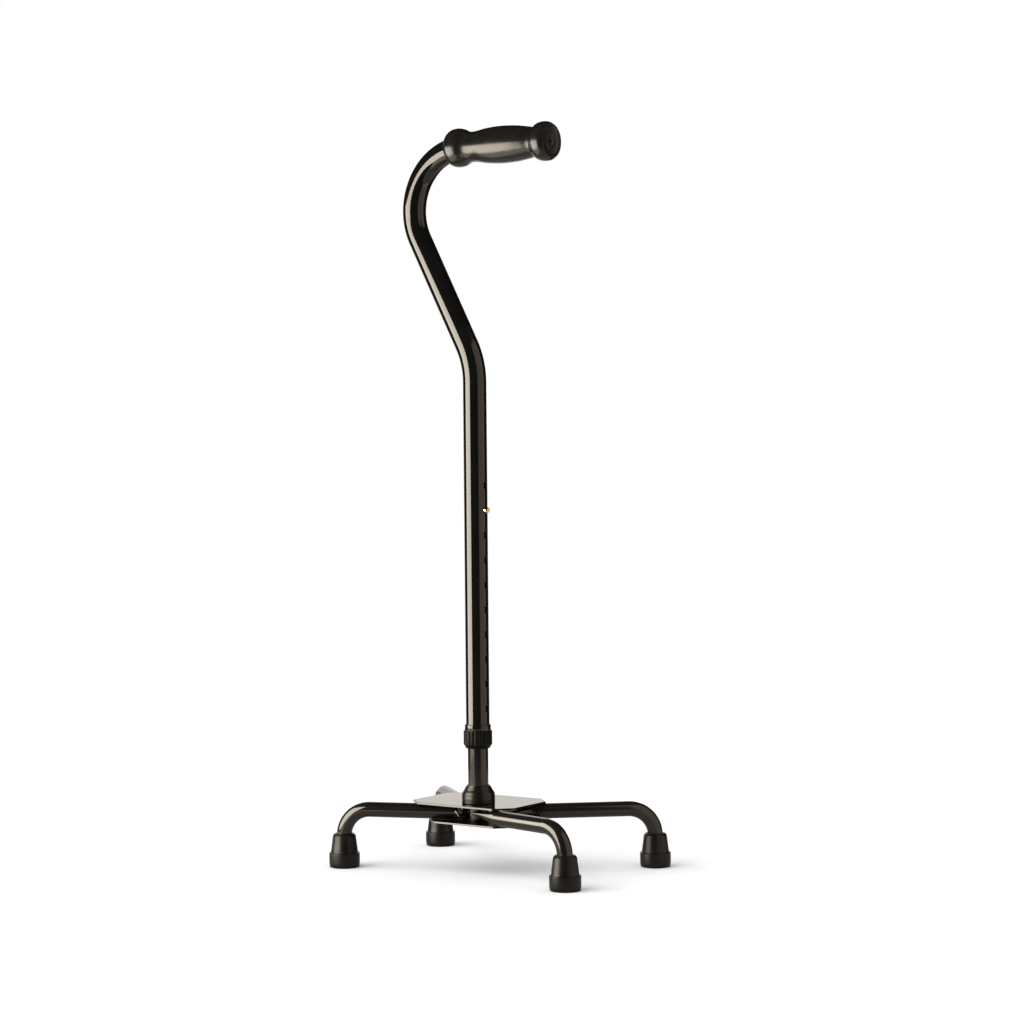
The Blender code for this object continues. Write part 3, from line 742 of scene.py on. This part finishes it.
def make_boss():
    """Ferrule with fine rings round its shoulder and a step near its foot."""
    foot_z, top_z = low("base_boss").z, high("base_boss").z
    outer_r = high("base_boss").y - SHAFT.y
    shoulder_z = foot_z + 0.0078
    profile = filleted([
        (POST_CLEAR_R - 0.0002, foot_z, 0.0),
        (outer_r, foot_z, 0.0003),
        (outer_r, foot_z + 0.0028, 0.0002),
        (outer_r - 0.0005, foot_z + 0.0032, 0.0002),
        (outer_r, foot_z + 0.0036, 0.0002),
    ], closed=False)
    shoulder = smooth_line([
        (outer_r, shoulder_z), (outer_r - 0.0001, shoulder_z + 0.0012),
        (outer_r - 0.0009, shoulder_z + 0.0036), (0.0145, top_z - 0.0045),
        (0.0129, top_z - 0.0012),
    ], 9)
    rings = 6
    ring_depth = 0.00006
    for i, (r, z) in enumerate(shoulder):
        share = i / (len(shoulder) - 1)
        profile.append((r - ring_depth * (1 - cos(2 * pi * rings * share)), z))
    profile += filleted([
        (0.0121, top_z - 0.0011, 0.0), (0.0119, top_z, 0.0003),
        (POST_CLEAR_R - 0.0002, top_z, 0.0),
    ], closed=False)
    add_piece("base_boss", turned(profile, SHAFT), "base", "collar_plastic")


# Legs and tips ------------------------------------------------------------------------
def leg_run(name):
    """(foot in plan, direction inwards, plan distance from the foot to the inner end)."""
    heading, short, _, _ = LEGS[name]
    foot = middle("tip_" + name)
    reach = (abs(foot.x - SHAFT.x) - short) / abs(cos(heading))
    return Vector((foot.x, foot.y, 0.0)), Vector((cos(heading), sin(heading), 0.0)), reach


def leg_section(half_width, half_height, power):
    """Points (across, up) of a rounded section: a circle at power 2, and squarer above."""
    points = []
    for i in range(LEG_SIDES):
        turn = 2 * pi * (i + 0.5) / LEG_SIDES
        c, s = cos(turn), sin(turn)
        across = half_width * abs(c) ** (2 / power) * (1 if c > 0 else -1)
        up = half_height * abs(s) ** (2 / power) * (1 if s > 0 else -1)
        points.append((across, up))
    return points


def leg_stations(length, drop, crush_length):
    """(distance from the foot in plan, height, tilt of the section, share of the crush)."""
    stations = [(0.0, LEG_BOTTOM_Z, 0.0, 0.0)]
    bend_steps = 22
    for i in range(bend_steps + 1):
        turn = pi / 2 * i / bend_steps
        plan = LEG_BEND_R * (1 - cos(turn))
        stations.append((plan, LEG_Z - LEG_BEND_R + LEG_BEND_R * sin(turn), turn, 0.0))
    crush_start = length - crush_length - FLAT_LENGTH
    crush_steps = 18
    for i in range(crush_steps + 1):
        share = i / crush_steps
        eased = share * share * (3 - 2 * share)
        plan = crush_start + crush_length * share
        stations.append((plan, LEG_Z - drop * eased, pi / 2, eased))
    stations.append((length, LEG_Z - drop, pi / 2, 1.0))
    return stations


def leg_rings(name, shrink):
    foot, along, length = leg_run(name)
    across = Vector((-along.y, along.x, 0.0))
    rings = []
    for plan, z, tilt, crush in leg_stations(length, *LEGS[name][2:]):
        width = LEG_R + (FLAT_HALF_WIDTH - LEG_R) * crush - shrink
        height = LEG_R + (FLAT_HALF_THICKNESS - LEG_R) * crush - shrink
        centre = foot + along * plan + Vector((0.0, 0.0, z))
        up = Vector((0.0, 0.0, sin(tilt))) - along * cos(tilt)
        section = leg_section(width, height, 2 + 1.5 * crush)
        rings.append([centre + across * a + up * b for a, b in section])
    return rings


def make_leg(name):
    """Hollow leg, with its end in the tip and its other end crushed flat."""
    rings = leg_rings(name, 0.0) + list(reversed(leg_rings(name, LEG_WALL)))
    bm = loft(rings, closed_loop=True)
    add_piece("leg_" + name, bm, "base", "leg_tube", sharp=radians(50.0))


TIP_R = high("tip_near_left").x - middle("tip_near_left").x
TIP_HEIGHT = high("tip_near_left").z
TIP_FLOOR_Z = low("tip_washer_near_left").z - GAP
TIP_STEP_Z = 0.0150


def make_tip(name):
    """Rubber tip: wide foot band, tapered cup and a rolled lip, with rings underneath."""
    bore_r = LEG_R + GAP
    lip_r = bore_r + 0.0019
    tread_depth = 0.0010
    profile = [(0.0004, tread_depth), (0.0030, tread_depth)]
    for tread_r in (0.0050, 0.0080, 0.0110):
        profile += [(tread_r - 0.0013, tread_depth), (tread_r - 0.0010, 0.0)]
        profile += [(tread_r + 0.0010, 0.0), (tread_r + 0.0013, tread_depth)]
    profile += filleted([
        (0.0126, 0.0, 0.0),
        (TIP_R - 0.0006, 0.0, 0.0008),
        (TIP_R, 0.0042, 0.0008),
        (TIP_R, TIP_STEP_Z, 0.0006),
        (TIP_R - 0.0017, TIP_STEP_Z + 0.0002, 0.0004),
        (lip_r + 0.0018, TIP_HEIGHT - 0.0022, 0.0008),
        (lip_r, TIP_HEIGHT, 0.0008),
        (bore_r, TIP_HEIGHT, 0.0003),
        (bore_r, TIP_FLOOR_Z, 0.0),
        (0.0004, TIP_FLOOR_Z, 0.0),
    ], closed=False)
    foot = middle("tip_" + name)
    bm = turned(profile, Vector((foot.x, foot.y, 0.0)), hollow=False, sides=80)
    add_piece("tip_" + name, bm, "base", "tip_rubber")


# Plates -------------------------------------------------------------------------------
TOP_CORNER = 0.016  # how far each plate's corners are cut back
BOTTOM_CORNER = 0.020
PLATE_BEND_R = 0.003
PLATE_RIM_R = 0.0003
PLATE_EDGE_SLOPE = 0.0004


def plate_outline(node, corner, inset):
    """Rectangle with cut corners, each bend rounded, moved in by inset all round."""
    x0, y0 = low(node).x + inset, low(node).y + inset
    x1, y1 = high(node).x - inset, high(node).y - inset
    cut_back = corner - inset * (2 - sqrt(2))
    bend = PLATE_BEND_R
    corners = [
        (x0 + cut_back, y0, bend), (x1 - cut_back, y0, bend),
        (x1, y0 + cut_back, bend), (x1, y1 - cut_back, bend),
        (x1 - cut_back, y1, bend), (x0 + cut_back, y1, bend),
        (x0, y1 - cut_back, bend), (x0, y0 + cut_back, bend),
    ]
    return filleted(corners)


def layered_plate(node, corner, layers):
    """A solid through the plate's outline at (inset, height) layers."""
    return loft([[(p.x, p.y, z) for p in plate_outline(node, corner, inset)]
                 for inset, z in layers])


def rounded_rim(rim_z, sign, radius, inset):
    """(inset, height) layers round a plate's edge, up (sign 1) or down (-1) to rim_z."""
    layers = []
    for i in range(FILLET_STEPS + 1):
        turn = pi / 2 * i / FILLET_STEPS
        height = rim_z - sign * radius * (1 - sin(turn))
        layers.append((inset + radius * (1 - cos(turn)), height))
    return layers


def make_plate(name, corner, hole_r):
    """Stamped plate: edges that slope in a little to the top, and a hole at the shaft."""
    low_z, top_z = low(name).z, high(name).z
    layers = rounded_rim(low_z, -1, PLATE_RIM_R, 0.0)[::-1]
    layers += rounded_rim(top_z, 1, PLATE_RIM_R, PLATE_EDGE_SLOPE)
    plate = add_piece(name, layered_plate(name, corner, layers), "base", "base_plate")
    past = 0.002
    below = SHAFT + Vector((0.0, 0.0, low_z - past))
    above = SHAFT + Vector((0.0, 0.0, top_z + past))
    cut_by(plate, cylinder(hole_r, below, above))
    plate.data.shade_smooth()
    plate.data.set_sharp_from_angle(angle=radians(10.0))
    return plate


def paint_shade_on_upper_face(plate):
    """The face between the two plates gets a darker, dull finish: painted shade for the shade
    that falls between the plates.
    """
    plate.data.materials.append(FINISHES["painted_shade_plate"])
    for face in plate.data.polygons:
        if face.normal.z > 0.99:
            face.material_index = 1


# CAD pieces that stay as they are, with their finish ----------------------------------
def finish_kept_nodes():
    """The inner pieces keep their CAD meshes and take the finish of their slot."""
    for entry in frame["record"]["subparts"]:
        obj = frame["nodes"][entry["node"]]
        obj.data.materials.clear()
        obj.data.materials.append(FINISHES[entry["material_slot"]])


# Studio -------------------------------------------------------------------------------
CAMERA_AZIMUTH = radians(34.49)
CAMERA_ELEVATION = radians(1.88)
CAMERA_ROLL = radians(-0.511)
CAMERA_PLACE = SHAFT + Vector((1.5967, -2.2587, 0.4600))
TO_CAMERA = Vector((sin(CAMERA_AZIMUTH), -cos(CAMERA_AZIMUTH), 0.0))
TO_RIGHT = Vector((cos(CAMERA_AZIMUTH), sin(CAMERA_AZIMUTH), 0.0))
FOCAL_LENGTH = 95.1  # millimetres, on a sensor 36 mm wide
KEY_TINT = (1.0, 0.95, 0.86)
FILL_TINT = (1.0, 0.89, 0.80)
BACK_TINT = (1.0, 0.95, 0.88)
KEY_ANGLE = radians(-73.5)
AMBIENT = 0.80  # the world's light on surfaces
BACKDROP = 1.0  # the world as the camera sees it


def make_camera():
    """Distant camera that looks slightly down, with a little roll."""
    back = TO_CAMERA * cos(CAMERA_ELEVATION) + Vector((0.0, 0.0, sin(CAMERA_ELEVATION)))
    up = back.cross(TO_RIGHT)
    rolled_right = TO_RIGHT * cos(CAMERA_ROLL) + up * sin(CAMERA_ROLL)
    rolled_up = up * cos(CAMERA_ROLL) - TO_RIGHT * sin(CAMERA_ROLL)
    data = bpy.data.cameras.new("camera")
    data.lens = FOCAL_LENGTH
    data.sensor_width = 36.0
    camera = bpy.data.objects.new("camera", data)
    turn = Matrix((rolled_right, rolled_up, back)).transposed().to_4x4()
    camera.matrix_world = Matrix.Translation(CAMERA_PLACE) @ turn
    bpy.context.scene.collection.objects.link(camera)
    bpy.context.scene.camera = camera


def around_shaft(angle):
    """Level direction at an angle to the right of the camera's, as seen from the shaft."""
    return TO_CAMERA * cos(angle) + TO_RIGHT * sin(angle)


def panel(name, width, height, radiance, tint):
    """Rectangular light, seen only in reflections."""
    data = bpy.data.lights.new(name, "AREA")
    data.shape = "RECTANGLE"
    data.size = width
    data.size_y = height
    data.energy = radiance * pi * width * height
    data.color = tint
    light = bpy.data.objects.new(name, data)
    light.visible_camera = False
    light.visible_diffuse = False
    bpy.context.scene.collection.objects.link(light)
    return light


def upright_panel(name, angle, distance, span_z, width, radiance, tint):
    """Panel that faces the shaft from an angle, between two heights."""
    light = panel(name, width, span_z[1] - span_z[0], radiance, tint)
    outward = around_shaft(angle)
    light.location = SHAFT + outward * distance + Vector((0.0, 0.0, sum(span_z) / 2))
    light.rotation_euler = (-outward).to_track_quat("-Z", "Y").to_euler()
    return light


def fade_rim(data, share):
    """Dims a panel light smoothly over this share of its width and height at each rim."""
    data.use_nodes = True
    tree = data.node_tree
    place = tree.nodes.new("ShaderNodeNewGeometry").outputs["Parametric"]
    parts = tree.nodes.new("ShaderNodeSeparateXYZ")
    tree.links.new(place, parts.inputs["Vector"])
    strength = None
    for axis in ("X", "Y"):
        for start, end in ((0.0, share), (1.0, 1.0 - share)):
            ramp = tree.nodes.new("ShaderNodeMapRange")
            ramp.interpolation_type = "SMOOTHSTEP"
            ramp.inputs["From Min"].default_value = start
            ramp.inputs["From Max"].default_value = end
            tree.links.new(parts.outputs[axis], ramp.inputs["Value"])
            result = ramp.outputs["Result"]
            if strength:
                product = tree.nodes.new("ShaderNodeMath")
                product.operation = "MULTIPLY"
                tree.links.new(strength, product.inputs[0])
                tree.links.new(result, product.inputs[1])
                result = product.outputs["Value"]
            strength = result
    tree.links.new(strength, tree.nodes["Emission"].inputs["Strength"])


def make_lights():
    """Panels that the glossy surfaces mirror, and a broad sun for the floor's shadows."""
    upright_panel("key_left", KEY_ANGLE, distance=0.85, span_z=(0.04, 0.78), width=0.80,
                  radiance=13.0, tint=KEY_TINT)
    fill = upright_panel("fill_right", radians(66), distance=0.60, span_z=(-0.10, 1.15),
                         width=0.94, radiance=1.0, tint=FILL_TINT)
    fade_rim(fill.data, share=0.10)
    upright_panel("back_panel", radians(-172), distance=1.20, span_z=(0.0, 1.0), width=1.15,
                  radiance=1.25, tint=BACK_TINT)
    make_floor_glow()
    make_sun()


def make_floor_glow():
    """The brightly lit floor at the foot of the key light, which low surfaces mirror."""
    light = panel("floor_glow", width=0.80, height=0.50, radiance=2.0, tint=KEY_TINT)
    light.location = SHAFT + around_shaft(KEY_ANGLE) * 0.58 + Vector((0.0, 0.0, 0.001))
    light.rotation_euler = (pi, 0.0, CAMERA_AZIMUTH + KEY_ANGLE)


def make_sun():
    """Very broad sun from the key light's side, left out of reflections."""
    data = bpy.data.lights.new("overhead", "SUN")
    data.energy = 2.7
    data.angle = radians(68)
    light = bpy.data.objects.new("overhead", data)
    height = radians(35)
    towards = around_shaft(KEY_ANGLE) * cos(height) + Vector((0.0, 0.0, sin(height)))
    light.rotation_euler = towards.to_track_quat("Z", "Y").to_euler()
    light.visible_glossy = False
    light.visible_camera = False
    bpy.context.scene.collection.objects.link(light)


def make_world():
    """Even white all round. Reflections don't see it: they hold only lights and floor."""
    world = bpy.data.worlds.new("studio")
    bpy.context.scene.world = world
    world.cycles_visibility.glossy = False
    world.use_nodes = True
    tree = world.node_tree
    path = tree.nodes.new("ShaderNodeLightPath")
    level = tree.nodes.new("ShaderNodeMapRange")
    level.inputs["To Min"].default_value = AMBIENT
    level.inputs["To Max"].default_value = BACKDROP
    background = tree.nodes["Background"]
    background.inputs["Color"].default_value = (1.0, 1.0, 1.0, 1.0)
    tree.links.new(path.outputs["Is Camera Ray"], level.inputs["Value"])
    tree.links.new(level.outputs["Result"], background.inputs["Strength"])


FLOOR_SIDES = 96
FLOOR_MIDDLE_R = 0.80
FLOOR_R = 1.60


def floor_piece(name, bm):
    mesh = bpy.data.meshes.new(name)
    bm.to_mesh(mesh)
    bm.free()
    obj = bpy.data.objects.new(name, mesh)
    obj.location = SHAFT
    bpy.context.scene.collection.objects.link(obj)
    return obj


def floor_circle(bm, radius):
    turns = [2 * pi * i / FLOOR_SIDES for i in range(FLOOR_SIDES)]
    return [bm.verts.new((radius * cos(t), radius * sin(t), 0.0)) for t in turns]


def make_floor():
    """Plain pale floor that fades into the backdrop. Reflections see only its middle, painted
    darker and warmer: a painted reflection tone.
    """
    finish = Finish("pale_floor")
    path = finish.add("ShaderNodeLightPath")
    # Painted reflection: for glossy rays the floor takes a darker, warmer colour.
    painted_reflection_tone = finish.spread(path.outputs["Is Glossy Ray"], 0.0, 0.86, 0.0, 1.0)
    shade = finish.sum_of(finish.spread(finish.noise(3.0), 0.0, 0.1), painted_reflection_tone)
    finish.colour((0.88, 0.88, 0.88), (0.44, 0.41, 0.37), shade, 0.0, 1.0)
    finish.roughness(finish.spread(finish.noise(8.0), 0.85, 0.95))
    finish.shader.inputs["Specular IOR Level"].default_value = 0.0
    distance = finish.add("ShaderNodeVectorMath", operation="LENGTH")
    finish.join(finish.place, distance.inputs[0])
    shown = finish.spread(distance.outputs["Value"], 1.0, 0.0, FLOOR_MIDDLE_R, FLOOR_R)
    finish.join(shown, finish.shader.inputs["Alpha"])
    disc = bmesh.new()
    disc.faces.new(floor_circle(disc, FLOOR_MIDDLE_R))
    rim = bmesh.new()
    bridge(rim, floor_circle(rim, FLOOR_MIDDLE_R), floor_circle(rim, FLOOR_R))
    middle_floor, outer_floor = floor_piece("floor", disc), floor_piece("floor_rim", rim)
    outer_floor.visible_glossy = False
    for floor in (middle_floor, outer_floor):
        floor.data.materials.append(finish.material)


# Assembly -----------------------------------------------------------------------------
make_handle_tube()
make_grip()
make_collar_sleeve()
make_lock_nut()
make_post()
make_button()
make_clip()
make_boss()
for leg_name in LEGS:
    make_leg(leg_name)
    make_tip(leg_name)
make_plate("top_plate", TOP_CORNER, POST_CLEAR_R)
paint_shade_on_upper_face(make_plate("bottom_plate", BOTTOM_CORNER, BOLT_CLEAR_R))
finish_kept_nodes()

make_floor()
make_world()
make_lights()
make_camera()
bpy.context.scene.view_settings.view_transform = "Standard"
